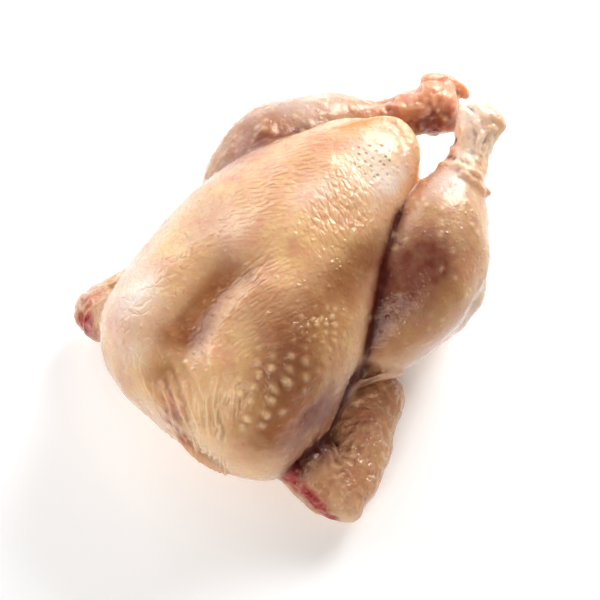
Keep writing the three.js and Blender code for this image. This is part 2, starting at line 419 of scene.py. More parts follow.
# %% Noise and bumps
def scattered(cells, seed):
    """Three repeatable numbers from 0 to 1 for each whole-numbered cell, as the last axis."""
    x, y, z = np.moveaxis(cells, -1, 0)
    n = x * 73856093 ^ y * 19349663 ^ z * 83492791 ^ (seed + 1) * 26544357
    n = (n ^ (n >> 13)) * 1274126177 & 0x7FFFFFFF
    n = (n ^ (n >> 15)) * 668265263 & 0x7FFFFFFF
    n ^= n >> 14
    return np.stack([(n >> k & 0x3FF) / 1023 for k in (1, 11, 21)], -1)


# A rotation, so that no lattice lines up with the bird.
TURNED = np.array([[0.36, 0.48, -0.8], [-0.8, 0.6, 0.0], [0.48, 0.64, 0.6]])
NOISE_GAIN = 1.7


def noise(places, size, seed=0):
    """Gradient noise from about -1 to 1: a random slope at each corner of a turned lattice, blended."""
    at = places @ TURNED / size
    cell = np.floor(at).astype(np.int64)
    f = at - cell
    blend = f * f * f * (f * (6 * f - 15) + 10)
    total = np.zeros(len(places))
    for corner in np.ndindex(2, 2, 2):
        weight = np.prod(np.where(corner, blend, 1 - blend), axis=1)
        slope = 2 * scattered(cell + corner, seed) - 1
        total += weight * ((f - corner) * slope).sum(axis=1)
    return NOISE_GAIN * total


def layered(places, size, octaves, seed=0):
    """Noise plus the same at half the size and half the strength, and so on."""
    return sum(noise(places, size / 2**k, seed + k) / 2**k for k in range(octaves))


def ridged(places, size, seed, slope):
    """1 along the lines where the noise is zero, falling by slope times the noise on both sides."""
    return 1 - slope * np.abs(noise(places, size, seed))


def taller(best, cells, seed, chance, away):
    """best, or the bell of the cells' own bumps where that is taller. Some cells have none, by chance."""
    draw = scattered(cells, seed + 1)
    size = np.where(draw[:, 0] < chance, 0.5 + 0.5 * draw[:, 1], 0)
    return np.maximum(best, size * np.exp(-away))


def bumps(places, spacing, width, seed, chance=1.0):
    """The tallest of the soft round bumps near each point: one for each cell, in a random place in it."""
    at = places @ TURNED / spacing
    cell = np.floor(at).astype(np.int64)
    best = np.zeros(len(places))
    for corner in np.ndindex(3, 3, 3):
        other = cell + corner - 1
        away = (((at - other - scattered(other, seed)) * spacing / width) ** 2).sum(axis=1)
        best = taller(best, other, seed, chance, away)
    return best


def rows_of_bumps(u, v, turn, spacing, width, seed, wander=0.4, chance=1.0):
    """Bumps on a chart in staggered rows that run turn degrees from u. Spacing and width are each given
    along the row and across it."""
    c, s = math.cos(math.radians(turn)), math.sin(math.radians(turn))
    a, b = u * c + v * s, v * c - u * s
    row = np.floor(b / spacing[1]).astype(np.int64)
    best = np.zeros(len(u))
    for below in (-1, 0, 1):
        r = row + below
        stagger = 0.5 * (r % 2)
        column = np.floor(a / spacing[0] - stagger).astype(np.int64)
        for beside in (-1, 0, 1):
            cells = np.stack([column + beside, r, 0 * r], -1)
            draw = scattered(cells, seed)
            along_row = (column + beside + stagger + 0.5 + wander * (draw[:, 0] - 0.5)) * spacing[0]
            up = (r + 0.5 + wander * (draw[:, 1] - 0.5)) * spacing[1]
            away = ((a - along_row) / width[0]) ** 2 + ((b - up) / width[1]) ** 2
            best = taller(best, cells, seed, chance, away)
    return best


def pushed(places, height):
    """Every point moved out along its normal by its height."""
    return places + height[:, None] * normals_of(places)


print("noise on the skin up to", round(noise(points[::100], 20).max(), 2))

# %% [markdown]
# ## The big shapes
# Two breast muscles stand up on either side of the keel bone. Towards the neck the skin sinks between
# them into a valley, steeper on the right where the muscle ends in a ridge. Each hollow or swelling is
# a soft bell with a place, a reach and a height.


# %% Valley, lobes and knuckles
def bells(rows):
    """The sum of a bell for each row: x, y and z of its centre, one reach or three, and its height."""
    return sum(tall * near((x, y, z), reach) for x, y, z, *reach, tall in rows)


SWELLINGS = [  # x, y, z of the centre, reach (one, or one each in x, y and z), height
    (1, -40, 102, 13, 15, 12, -1.8), (-8, -54, 100, 18, 17, 16, -3.2),
    (-11, -68, 98, 19, 16, 16, -3.8), (-10, -82, 96, 20, 14, 16, -3.8),
    (-1, -94, 90, 14, 12, 14, -3.2), (5, -104, 82, 11, 10, 12, -2.2), (-36, -84, 88, 15, 24, 20, 3.6),
    (-24, -110, 60, 22, 3.0), (44, -64, 88, 20, 26, 24, 4.2), (54, -100, 54, 18, 2.6),
    (36, -113, 44, 9, -1.6), (18, -117, 48, 9, -0.6), (32, 50, 84, 13, 20, 12, 1.2),
    (74, 52, 60, 14, 1.5), (-16, 79, 80, 8, 1.4), (16, 64, 83, 6, 10, 9, 1.2), (14.5, 106, 80, 5, 1.8),
    (15.3, 108.5, 82, 3.5, 1.6, 3, -2.0), (15.4, 113, 80.5, 4, 1.6), (29, 114, 79, 7, 1.6),
    (22, 119, 80, 5, 1.2), (18.6, 92, 74.2, 2.6, -2.6), (21.5, 88, 74, 3, 0.9), (-6, 100, 58, 8, -2.4),
    (-24, 99, 64, 8, 2.2), (-60, 29, 74, 6, 1.4), (-12, 110, 68, 6, 1.6), (-21, 98, 62, 6, 1.0),
    (-8.5, 112, 70, 2, 5, 3, -1.6), (-29, 88, 60, 5, -1.0),
]
RIDGES = [  # stops, reach, height
    ([
        (8, -44, 101), (6, -56, 101), (6, -68, 100), (10, -79, 98), (17, -89, 94), (23, -98, 89),
        (27, -106, 81), (31, -111, 67),
    ], 7, 1.8),
    ([
        (64.5, -38, 57), (67, -46, 50), (69, -53, 44), (71.5, -62.5, 35), (72, -74, 40), (70, -85, 41),
    ], 3.6, -2.4),
    ([(-11, 27, 101), (-4, 5, 103), (3, -16, 104)], 6, 1.2),
    ([(-14, -20, 103), (-22, -60, 97)], 16, 1.0),
]
height = bells(SWELLINGS) + sum(tall * near_path(stops, reach) for stops, reach, tall in RIDGES)
height += 0.8 * noise(points, 31, 3)  # slow waves of the flesh, and shorter ones, higher on the limbs
height += 0.5 * noise(points, 15, 4) * (1 + legs + wings)
points = pushed(points, height)
print("big shapes from", round(height.min(), 1), "to", round(height.max(), 1), "mm")

# %% [markdown]
# ## Skin detail
# Plucked skin keeps a bump wherever a feather grew. The bumps stand in rows, in tracts on each side
# of the breast and along the back, and the skin between them creases across the pull. Real geometry is
# used for all of these, since they catch the light one by one; only the finest grain is left to the
# material.

# %% Breast tracts
TRACTS = {
    "front": np.minimum(near((46, -74, 88), (15, 22, 17)) + near((45, -90, 84), (10, 10, 12)), 1),
    "side": near((44, -36, 90), (12, 14, 15)),
    "middle": near((10, 14, 99), (18, 24, 14)) * step(breast_u, -12, -2),
    "lower": near((2, -42, 102), (18, 18, 12)) * step(breast_u, -14, -4),
}
TRACTS["other"] = 1 - np.minimum(sum(TRACTS.values()), 1)
# Turn of the rows in degrees, spacing and width of a bump in mm, seed, wander, chance, and height in mm.
FEATHER_ROWS = {
    "front": (-52, (6.6, 7.6), (2.1, 2.0), 11, 0.35, 0.95, 1.7),
    "side": (-70, (4.6, 4.6), (1.35, 1.3), 12, 0.6, 0.9, 0.85),
    "middle": (-24, (5.6, 3.4), (2.6, 1.1), 13, 0.9, 0.9, 0.6),
    "lower": (78, (9, 4.2), (3.8, 1.3), 14, 0.9, 0.8, 0.6),
    "other": (20, (5.5, 5.5), (1.4, 1.3), 15, 0.9, 0.6, 0.35),
}
SLOW_STRAY, QUICK_STRAY = 2.4, 0.6  # how far the rows stray from straight
drift_u = breast_u + SLOW_STRAY * noise(points, 24, 23) + QUICK_STRAY * noise(points, 9, 24)
drift_v = breast_v + SLOW_STRAY * noise(points, 27, 25) + QUICK_STRAY * noise(points, 9, 26)
feathers = {
    name: TRACTS[name] * rows_of_bumps(drift_u, drift_v, *row) for name, (*row, _) in FEATHER_ROWS.items()
}
detail = breast * sum(row[-1] * feathers[name] for name, row in FEATHER_ROWS.items())
print("breast relief up to", round(detail.max(), 2), "mm")

# Where the material's finest relief goes on the breast.
around_front = np.maximum(near((34, -62, 94), (26, 24, 20)) - near((46, -76, 88), (13, 18, 16)), 0)
FINE_TRACTS = {
    "pores": near((2, 46, 96), (13, 13, 12)),
    "wrinkles": near((-24, 8, 99), (16, 34, 16)) * step(breast_u, 0, -12),
    "middle": TRACTS["middle"],
    "lower": np.minimum(TRACTS["lower"] + around_front, 1),
}

# %% [markdown]
# ## Cords, folds and cut edges
# Gathered skin at the neck lies in ropes, like a drawn curtain, and there are cords of tendon on the
# shanks, a cuff where the leg's skin was cut and a raw edge on the wing. Laid one by one, many ropes
# would look combed, so most come from one cosine wave across the folds, with its phase and its height
# broken by noise. Only the folds that stand out have a path of their own.

# %% The chart of the neck folds
# The neck folds lie side by side along FOLD_ACROSS, and fan out from the neck opening up the breast.
FOLD_ACROSS, FOLD_UP = np.array((0.74, 0.67, 0)), np.array((-0.61, 0.68, 0.41))
FOLD_MIDDLE, FOLD_FOOT, FOLD_LENGTH = -50, -84, 44
FAN_FOOT, FAN_GAIN = 0.62, 0.55  # the folds' spacing at the foot, and how much wider it gets
fold_up = points @ FOLD_UP
up_share = (fold_up - FOLD_FOOT) / FOLD_LENGTH
fold_across = (points @ FOLD_ACROSS - FOLD_MIDDLE) / (FAN_FOOT + FAN_GAIN * np.clip(up_share, 0, 1.2))
fold_zone = step(points[:, 1], -80, -96) * step(fold_across, -34, -22) * step(fold_across, 22, 10)
fold_zone *= step(points[:, 2], 26, 40) * step(up_share, 1.2, 0.7)
print("neck folds on", round(100 * fold_zone.mean(), 1), "% of the skin")

# %% Paths of the cords
CORDS = {  # stops, reach, height
    "neck folds": [
        ([(1, -105, 84), (12.5, -110.5, 78.5), (24, -116, 69)], 1.5, 0.9),
        ([(1, -100, 87.5), (16, -107, 83), (28.5, -112, 77)], 1.7, 0.8),
        ([(5, -96.5, 88.5), (16.5, -100, 90.5), (24, -103.5, 87.5)], 1.3, 0.5),
        ([(0.5, -110.5, 79), (10, -114, 73.5), (17.5, -116.5, 64)], 1.5, 0.9),
        ([(31, -90, 92), (39, -98.5, 86), (44, -108, 74.5), (44.5, -112.5, 61.5)], 2.2, 0.4),
        ([(21.5, -107, 85.5), (29, -112.5, 75.5), (32.5, -115.5, 59.5)], 2.0, 0.7),
        ([(12, -86.5, 96), (26, -98, 89.5), (34, -113, 70.5), (34, -116, 54)], 2.4, 0.7),
    ],
    "fat streaks": [
        ([
            (41.7, -39.6, 93.9), (49.2, -44.7, 89.3), (55.7, -50.5, 84.1), (60.4, -57, 77.3),
            (61.3, -65.6, 75), (61, -74, 74.6), (60, -84, 74.6),
        ], 2.6, 0.35),
    ],
    "cuff": [
        ([(16, 76, 70), (24.5, 77, 75), (30.5, 79.5, 78.5), (37.5, 82.5, 78), (41, 84, 74)], 2.5, 1.7),
        ([(36.5, 78, 79), (41, 78.5, 78), (44.5, 80.5, 75), (47.5, 80.5, 71)], 2.5, 1.6),
    ],
    "shank": [
        ([(23.5, 103.5, 83), (30, 100, 80), (34.5, 92.5, 77.5), (36.5, 86, 77.5)], 1.5, 1.0),
        ([(31.5, 109, 80.5), (34, 101.5, 77.5), (37.5, 91.5, 76.5)], 1.5, 0.9),
        ([(20, 97, 80), (26, 88.5, 77), (29, 82, 77.5)], 1.5, 0.7),
        ([(30, 108, 81), (29.5, 102, 80.5), (31, 97.5, 79.5)], 2.3, 0.9),
        ([(-16, 109.5, 68), (-8.5, 101, 66.5), (-16, 92, 64)], 2.0, 1.2),
        ([(-9, 111, 69.5), (-5, 105, 67), (-6.5, 97, 63)], 1.8, 1.3),
        ([(-20, 104, 66), (-14, 96, 64.5), (-22, 90, 62)], 1.8, 0.8),
        ([(5.5, 103.5, 53.5), (2, 112, 60), (-2, 118, 63.5)], 2.0, 0.8),
    ],
    "tip": [
        ([
            (-22, 52.5, 93), (-19.5, 61, 90), (-15, 70, 87), (-7, 75, 86), (4, 73, 86), (11, 66, 86),
            (17, 59, 82),
        ], 2.4, 0.5),
        ([(-14, 60, 92), (-8, 68, 89), (-0.5, 69, 88.5), (8.5, 63, 89), (15.5, 56, 87)], 2.6, -0.6),
    ],
    "wing cut": [
        ([(69, -93, 31), (76, -94, 25), (81, -93.5, 19.5), (87.5, -93, 15), (95, -91, 14)], 2.2, -1.5),
        ([(72, -89, 32), (79, -89, 26), (86, -88.5, 21), (94, -87, 18)], 2.4, 0.9),
    ],
}
print(sum(len(rows) for rows in CORDS.values()), "cords")

# %% Cords and ropes
CORD_STRAY = 0.9
wavy = points + CORD_STRAY * np.stack([noise(points, 9, 91 + k) for k in range(3)], -1)
cords = {
    name: sum(tall * near_path(stops, reach, wavy) for stops, reach, tall in rows)
    for name, rows in CORDS.items()
}
detail += sum(cords.values()) * (1 + 0.5 * noise(points, 7, 95))
ROPE_SPACING, ROPE_STRAY, ROPE_JITTER, ROPE_HEIGHT, ELBOW_HEIGHT = 5.2, 4.2, 1.1, 1.15, 1.3
rope_drift = ROPE_STRAY * noise(points * [1, 1, 0.7], 13, 97) + ROPE_JITTER * noise(points, 5, 101)
rope_wave = np.cos(2 * np.pi * (fold_across + rope_drift) / ROPE_SPACING)
ropes = fold_zone * np.maximum(rope_wave, 0) ** 1.2 * np.clip(0.3 + 1.6 * noise(points, 10, 98), 0, 1)
detail += ROPE_HEIGHT * ropes
elbow = near((-74, -93, 26), (13, 10, 14)) * left_wing
detail += ELBOW_HEIGHT * elbow * ridged(points * [1, 1, 0.6], 8, 96, 2.2)
print("ropes and cords up to", round(detail.max(), 2), "mm")

# %% [markdown]
# ## Legs, wings, back and shanks
# The skin of the legs is smooth with scattered feather bumps, that of the wings thick and cobbled, and
# the bare shanks are knotty. The same functions make all of them, with another spacing, width and
# chance of a bump. In the clefts the skin is pulled tight, so there the relief fades.

# %% Legs, wings, back and shanks
knee = near((72, 44, 74), 14) + near((44, 6, 80), 14)
cobble_zone = wings * (0.3 + near((77, -66, 30), (18, 24, 18)) + near((-68, -70, 34), 24))
bare = (1 - legs) * (1 - wings)
SCATTERED_BUMPS = {  # where, spacing and width in mm, seed, chance, height in mm
    "legs": (legs, 6.2, 1.6, 41, 0.55, 0.62),
    "knees": (knee * legs, 4.6, 1.25, 43, 1, 0.5),
    "left drumstick": (left_leg * step(left_t, 0.75, 0.55), 6.4, 1.9, 45, 0.85, 0.85),
    "wings": (cobble_zone, 5.6, 2.5, 51, 1, 0.8),
    "flanks": ((1 - breast) * bare, 5.5, 1.5, 63, 0.5, 0.3),
}
pimples = {name: where * bumps(points, *row) for name, (where, *row, _) in SCATTERED_BUMPS.items()}
detail += sum(row[-1] * pimples[name] for name, row in SCATTERED_BUMPS.items())
detail += 0.5 * cobble_zone * ridged(points, 6, 53, 2.4)
detail += 0.3 * wings * ridged(points * [0.6, 1, 1], 11, 55, 2.6)
back_rows = rows_of_bumps(points[:, 0], points[:, 1], 35, (6.4, 6), (1.5, 1.5), 61, 0.5, 0.8)
detail += 0.45 * step(points[:, 2], 46, 30) * bare * back_rows
# Bare shank from two thirds along the drumstick.
right_shank = on(right_share) * step(right_t, 0.62, 0.68)
left_shank = on(left_share) * step(left_t, 0.6, 0.68)
shanks = np.maximum(right_shank, left_shank)
gristle = 0.7 * layered(points, 8, 2, 71) + 0.6 * bumps(points, 5, 2.2, 73)
detail += (shanks + 0.8 * left_shank) * gristle
TIGHT_REACH, TIGHT_FADE = 7, 0.85
tight = np.max([near_path(c, TIGHT_REACH) for c in clefts], axis=0)
points = pushed(points, detail * (1 - TIGHT_FADE * tight))
print("detail from", round(detail.min(), 2), "to", round(detail.max(), 2), "mm")

# %% [markdown]
# ## Where it lies
# A soft bird flattens where it rests. A boolean cut would leave a hard rim, so every point lower than
# a little above the floor is drawn in towards it on an exponential curve, which never crosses it.

# %% Flatten the underside
REST_ROUNDING = 0.8  # mm
low = points[:, 2] < REST_ROUNDING
points[low, 2] = REST_ROUNDING * np.exp(points[low, 2] / REST_ROUNDING - 1)
print("flattened", round(100 * low.mean(), 1), "% of the skin")

# %% [markdown]
# ## What shows through the skin, and painted shade and light
# Raw skin is thin and nearly clear, so much of its colour is what lies under it: cream fat, yellow fat,
# pink or purple meat, and red flesh where it is cut. Some masks are painted shade and light, in part or
# whole: dark red-brown in the hollows and clefts, brown where the keel's valley, the breast's right side
# and the wing's top turn from the lamps, and pale sheen and cream crest highlights where the wet skin
# catches them. Each of those is a mask on the mesh, made of soft bells at named places and broken up
# with noise, and the material mixes its colours by them.

# %% Masks for the material
STAINS = {  # mask: x, y, z of the centre, reach (one, or one each in x, y and z), strength
    "meat": [
        (54, 22, 82, 19, 24, 16, 1.0), (55, 2, 74, 9, 14, 10, 0.8), (58, -16, 66, 9, 0.5),
        (66, -66, 60, 9, 22, 18, 1.1), (0, -84, 90, 8, 12, 9, 0.3), (15, -116, 68, 7, 8, 8, 0.6),
        (46, -62, 88, 20, 0.45), (-50, 10, 78, 18, 22, 10, 0.3), (-60, 40, 66, 18, 26, 16, 0.2),
        (-2, 100, 56, 10, 1.0), (-58, 30, 60, 20, 0.2), (84, -60, 24, 24, 0.2), (0, 60, 20, 16, 0.5),
        (0, 70, 45, 16, 0.5), (1, 101, 58, 8, 9, 9, 1.0),
    ],
    # golden-brown of skin over meat and fat, and painted shade on the breast's right side turned from the
    # key lamp
    "golden": [
        (50, -62, 80, 22, 32, 26, 0.9), (46, -74, 88, 13, 18, 14, 0.5), (48, -30, 84, 14, 26, 20, 0.6),
        (42, -104, 60, 20, 16, 26, 0.1), (80, -50, 20, 34, 0.15), (-60, 24, 68, 18, 26, 18, 0.6),
        (-8, -70, 96, 14, 24, 14, 0.5), (72, 0, 60, 16, 20, 20, 0.2),
    ],
    "pink": [
        (-54, 22, 70, 16, 30, 16, 0.7), (-36, 84, 64, 14, 16, 10, 0.6),
        (-16, 102, 64, 20, 18, 12, 1.0), (-6, 114, 62, 12, 12, 10, 1.3),
        (-84, -84, 20, 9, 14, 12, 1.0), (88, -62, 24, 22, 34, 18, 0.6),
        (-40, -104, 78, 12, 10, 12, 0.7), (36, 74, 80, 12, 12, 8, 0.5), (10, -112, 74, 9, 8, 11, 1.0),
        (82, 10, 46, 12, 24, 12, 0.5), (24, 104, 80, 10, 12, 6, 0.4), (-20, 10, 101, 14, 30, 8, 0.3),
        (60, -74, 66, 10, 18, 16, 0.6),
    ],
    "raw": [
        (-66, -99, 28, 8, 6, 9, 1.3), (-74, -96, 18, 7, 6, 7, 0.6), (69, -92, 34, 5, 1.2),
        (-72, -88, 30, 7, 0.4), (22, -118, 50, 5, 5, 2, 0.8), (21.5, 88, 74, 2.6, 0.8),
        (4, 76, 40, 12, 0.5), (4, 104, 50, 6, 0.5),
    ],
    "yellow": [
        (76, 27, 72, 12, 16, 12, 0.8), (78, -2, 58, 13, 0.5), (20, -104, 84, 16, 12, 16, 0.7),
        (30, -112, 62, 16, 8, 22, 0.7), (42, -92, 84, 16, 0.6), (12, 10, 99, 20, 30, 12, 0.35),
        (45, -32, 86, 16, 0.5), (-8, -104, 82, 7, 0.6), (-66, -40, 66, 16, 0.4), (28, 104, 81, 7, 0.6),
        (33, 98, 77, 6, 12, 6, 0.5), (19, 61, 78, 7, 13, 10, 0.7), (6, 76, 82, 13, 6, 7, 0.6),
    ],
    "orange": [
        (19, 60, 78, 6, 12, 10, 0.6), (-19, 59, 91, 5, 12, 4, 1.0), (4, 77, 82, 14, 5, 8, 0.5),
        (-8, -82, 90, 8, 12, 8, 0.55), (-6, -64, 95, 7, 12, 6, 0.4), (-9, 124, 62, 7, 4, 5, 0.8),
        (-1, 127, 57, 5, 0.8), (-30, 20, 98, 20, 34, 12, 0.1), (30, 74, 78, 6, 0.5),
        (-14, 122, 62, 8, 0.3), (70, -92.5, 35, 4, 1.0),
    ],
    # brown skin, and painted shade in the keel's valley, on the wing's top and on both sides of the right
    # cleft
    "tan": [
        (36, -16, 94, 12, 24, 12, 0.95), (33, 8, 91, 8, 18, 12, 0.9), (30, -56, 96, 19, 13, 16, 0.85),
        (46, -70, 88, 15, 18, 14, 0.6), (56, -84, 74, 14, 16, 16, 0.6),
        (46, -100, 68, 14, 10, 14, 0.25), (-12, -88, 90, 9, 12, 9, 1.0), (-8, -62, 93, 8, 15, 9, 1.3),
        (-3, -80, 90, 8, 10, 8, 1.4), (0, -106, 82, 9, 9, 10, 0.9), (60, -92, 72, 10, 12, 14, 0.5),
        (32, -43, 98, 12, 12, 9, 0.6), (2, -42, 101, 7, 9, 8, 0.3), (-30, -30, 98, 26, 20, 12, 0.25),
        (-56, 22, 74, 9, 24, 14, 0.35), (-48, 14, 82, 8, 14, 8, 0.6), (76, -26, 36, 10, 12, 14, 0.5),
        (-10, -46, 98, 9, 10, 8, 0.5), (-38, -50, 95, 14, 26, 12, 0.2),
    ],
    # pale skin over the hock's knob and thin membranes, and painted sheen on the left lobe, the right
    # drumstick's top and by the breast's tip, and painted floor light under the right thigh
    "lilac": [
        (-38, -86, 86, 15, 16, 13, 0.9), (-24, -106, 80, 11, 9, 11, 0.6), (-8, 10, 103, 9, 14, 6, 0.5),
        (4, 45, 96, 13, 16, 9, 0.9), (15, 48, 90, 6, 14, 7, 0.8), (34, 66, 82, 10, 12, 8, 0.9),
        (-22, -30, 102, 12, 16, 8, 0.3), (84, 24, 44, 14, 26, 14, 0.9), (80, 0, 44, 14, 14, 12, 0.8),
        (15.5, 108, 81, 9, 9, 9, 1.4), (-80, -84, 26, 8, 0.5), (98, -86, 16, 9, 0.4),
        (-60, 58, 68, 18, 18, 10, 1.0), (30, 96, 80, 9, 16, 8, 0.9),
    ],
}
RIGHT_WING_CREASE = [
    (66, -32, 52), (64.8, -36, 56), (65.8, -41.5, 55), (67, -46.5, 51), (68.5, -52, 45.5),
    (69.5, -56.5, 37), (71.5, -62.5, 34.5), (73, -68.5, 40), (73, -74, 42), (72, -79, 43),
    (71, -84.5, 42.5), (70, -89, 39.5),
]
STREAKS = [  # mask, stops, reach, strength
    ("raw", [(10, -118, 58), (15, -118.5, 57.5), (20, -118, 55)], 2.6, 1.1),
    ("raw", [(75.5, -92, 30), (79, -91, 28), (83, -90.5, 25), (88, -90, 21), (95, -88.5, 14)], 3.4, 1.5),
    # partly the meat under thin skin, partly painted shade along the left cleft
    ("meat", LEFT_CLEFT[1:], 9, 0.35),
    ("orange", [(-23, 50, 93), (-19.5, 61, 90), (-16, 72, 86)], 2.6, 0.7),
    ("orange", [(-3, 78, 81), (6.5, 77, 80), (14.5, 70, 79), (20, 62, 75), (25, 52, 77)], 3.6, 0.6),
    # painted shade: dark red-brown along the clefts, the wing's crease and the wing's cut end
    ("hollow", RIGHT_CLEFT[1:], 4.5, 0.6),
    ("hollow", LEFT_CLEFT[1:], 6, 0.8),
    ("hollow", RIGHT_WING_CREASE, 8, 1.1),
    ("hollow", [(95, -89.5, 15), (97, -88.5, 16)], 2.4, 1.3),
    # painted shade: near-black red deep in the clefts beside the wing and the legs
    ("cleft", RIGHT_WING_CREASE, 5, 1.0),
    ("cleft", [(64, -27, 28), (65, -33, 37), (67, -43, 44), (68, -48, 41), (68, -53, 36)], 4, 0.9),
    ("cleft", RIGHT_CLEFT[1:], 2.8, 0.9),
    ("cleft", LEFT_CLEFT[1:], 3, 0.5),
]
PALE_FOLDS = [
    (31, -100, 87, 8, 13, 11, 1.3), (35, -114, 69, 9, 8, 16, 1.5), (12, -107, 81, 10, 7, 7, 0.4),
    (44, -112, 52, 14, 9, 12, 0.5), (22, -104, 87, 9, 9, 9, 0.5),
]
CRINKLED = [
    (-36, -86, 88, 22, 26, 22, 1.0), (-20, -108, 70, 20, 10, 24, 1.0), (-40, -40, 94, 14, 30, 14, 0.5),
]
SATIN = [(36, 66, 82, 16, 1.0), (-8, 62, 92, 14, 1.0), (4, 45, 97, 14, 0.6)]
print(sum(len(places) for places in STAINS.values()), "stains and", len(STREAKS), "streaks")

# %% Masks from places
masks = {}
for name, places in STAINS.items():
    masks[name] = bells(places) * (1 + 0.4 * layered(points, 16, 2, 5 * len(name)))
masks["hollow"], masks["cleft"] = np.zeros(len(points)), np.zeros(len(points))
for name, stops, reach, strength in STREAKS:
    masks[name] = masks[name] + strength * near_path(stops, reach)
masks["meat"] += 0.22 * legs * (1 - shanks) + 0.15 * wings
masks["yellow"] += 1.2 * cords["fat streaks"] + 0.2 * np.maximum(cords["shank"], 0)
masks["orange"] += 1.3 * near((-72, -88, 30), (8, 8, 9)) * left_wing
masks["rope"] = bells(PALE_FOLDS) * (0.75 + 0.5 * ropes) + 0.4 * cords["neck folds"]
masks["crinkled"] = breast * bells(CRINKLED) * (0.7 + 0.6 * noise(points, 12, 99))
masks |= {"satin": bells(SATIN), "folds": fold_zone, "cobbled": wings}
masks |= {name: breast * where for name, where in FINE_TRACTS.items()}
print(len(masks), "masks from places")

# %% Masks from the shape
normals = normals_of(points)
smoothed, dents = points, []
for rounds in (6, 30):  # a dent a few millimetres wide, and one twice as wide
    for _ in range(rounds):
        smoothed = neighbour_mean(smoothed)
    dents.append(((smoothed - points) * normals).sum(axis=1))
dent, wide_dent = dents
shaded = 0.5 * step(dent, 0.02, 0.3) + step(wide_dent, 0.12, 1.2)
# painted shade: darker where the skin is concave, less on the wings and the left leg
masks["hollow"] += shaded * (1 - 0.6 * wings - 0.4 * left_leg)
# the painted shade in the clefts, broken by noise and strongest where the skin is most concave
masks["cleft"] *= (1 + 0.5 * noise(points, 5, 100)) * (0.5 + 0.5 * step(wide_dent, -0.1, 0.5))
# cream on every convex crest: partly the fat at feather bumps, partly a painted highlight
masks["tip"] = step(-dent, 0.05, 0.3)
masks["papule"] = breast * (feathers["front"] + feathers["side"]) + 0.8 * pimples["legs"]
masks = {name: np.clip(mask, 0, 1) for name, mask in masks.items()}
print({name: round(float(mask.mean()), 3) for name, mask in masks.items()})

# %% [markdown]
# ## The skin mesh
# The fine skin has far more faces than a model should carry. Decimate takes them away where the skin
# is smooth and leaves them on bumps and folds, so the shape hardly changes. The masks and the charts
# go in as attributes first, because Decimate carries them along.

# %% Build and thin the mesh
MOST_TRIANGLES = 194000
charts = {
    "breast_chart": np.stack([breast_u, breast_v, 0 * breast_u], -1) * MM,
    "fold_chart": np.stack([fold_up, fold_across, 0 * fold_up], -1) * MM,
}
skin = mesh_object("chicken_skin", points, quads.tolist())
for name, values in (masks | charts).items():
    kind, field = ("FLOAT", "value") if values.ndim == 1 else ("FLOAT_VECTOR", "vector")
    stored = skin.data.attributes.new(name, kind, "POINT").data
    stored.foreach_set(field, values.astype(np.float32).ravel())
skin.data.shade_smooth()
thin = skin.modifiers.new("thin", "DECIMATE")
thin.ratio = MOST_TRIANGLES / sum(len(p.vertices) - 2 for p in skin.data.polygons)
evaluated = skin.evaluated_get(bpy.context.evaluated_depsgraph_get())
thinned = bpy.data.meshes.new_from_object(evaluated)
skin.modifiers.clear()
skin.data = thinned
print("skin mesh of", len(skin.data.polygons), "faces")
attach(skin, "root")
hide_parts("chicken")

# %% [markdown]
# ## Raw poultry skin: its colour
# Plucked and scalded chicken skin is a thin wet film over fat, so it is never one colour: cream where
# the fat is thick, rosy where meat shows, and patchy at the size of the fat lobules. A painted texture
# would give that too, but noise needs no unwrapping, and one number changes it. Four noises mix the
# plain skin, and then each mask lays its own colour over it, in order: the stains under the skin, and
# the painted shade, sheen and crest highlights.


# %% Colours and nodes
def linear(code):
    """A linear RGBA colour from sRGB hex."""
    parts = [int(code[k : k + 2], 16) / 255 for k in (1, 3, 5)]
    return [c / 12.92 if c <= 0.04045 else ((c + 0.055) / 1.055) ** 2.4 for c in parts] + [1.0]


def node(tree, kind, inputs, **settings):
    """Adds a node with its settings. An input gets a value, or is linked to another node's output: the
    first one where the node itself is given."""
    made = tree.nodes.new("ShaderNode" + kind)
    for key, value in settings.items():
        setattr(made, key, value)
    for socket, value in inputs.items():
        if isinstance(value, bpy.types.Node):
            value = value.outputs[0]
        if isinstance(value, bpy.types.NodeSocket):
            tree.links.new(value, made.inputs[socket])
        else:
            made.inputs[socket].default_value = value
    return made


poultry_skin = bpy.data.materials.new("raw_poultry_skin")
poultry_skin.use_nodes = True
tree = poultry_skin.node_tree
tree.nodes.clear()
place = node(tree, "TexCoord", {}).outputs["Object"]
shown = {name: node(tree, "Attribute", {}, attribute_name=name).outputs["Fac"] for name in masks}
flat = {name: node(tree, "Attribute", {}, attribute_name=name).outputs["Vector"] for name in charts}
SMOOTH, PRODUCT = {"interpolation_type": "SMOOTHSTEP"}, {"operation": "MULTIPLY"}
print("the material reads", len(shown), "masks and", len(flat), "charts")

# %% The plain skin
SKIN, SKIN_WARM = "#efcba9", "#e4bc92"
LOBULE = 6 * MM  # the fat under the skin lies in lobules about this wide
patches = node(tree, "TexNoise", {
    "Vector": place, "Scale": 1 / (3 * LOBULE), "Detail": 4, "Roughness": 0.6,
})
warm = node(tree, "MapRange", {"Value": patches, "From Min": 0.35, "From Max": 0.7})
layers = [(warm, SKIN_WARM)]  # amount and colour of each, laid over what is there already
SKIN_CLOUDS = [  # colour, the clouds' size in mm, noise detail and part, its start, end and strength
    ("#f2d3a0", 22, 3, 3, 0.46, 0.64, 0.7),  # cream, where the fat is thick
    ("#dfa88e", 16, 2, 8, 0.48, 0.66, 0.6),  # rosy, where meat is close
    ("#dfa88e", 5, 3, 5, 0.52, 0.68, 0.45),  # and in small flecks
]
for code, size, levels, part, low, high, most in SKIN_CLOUDS:
    cloud = node(tree, "TexNoise", {
        "Vector": place, "W": part, "Scale": 1 / (size * MM), "Detail": levels,
    }, noise_dimensions="4D")
    amount = node(tree, "MapRange", {
        "Value": cloud, "From Min": low, "From Max": high, "To Max": most,
    }, **SMOOTH)
    layers.append((amount, code))
print(len(layers), "noises in the plain skin")
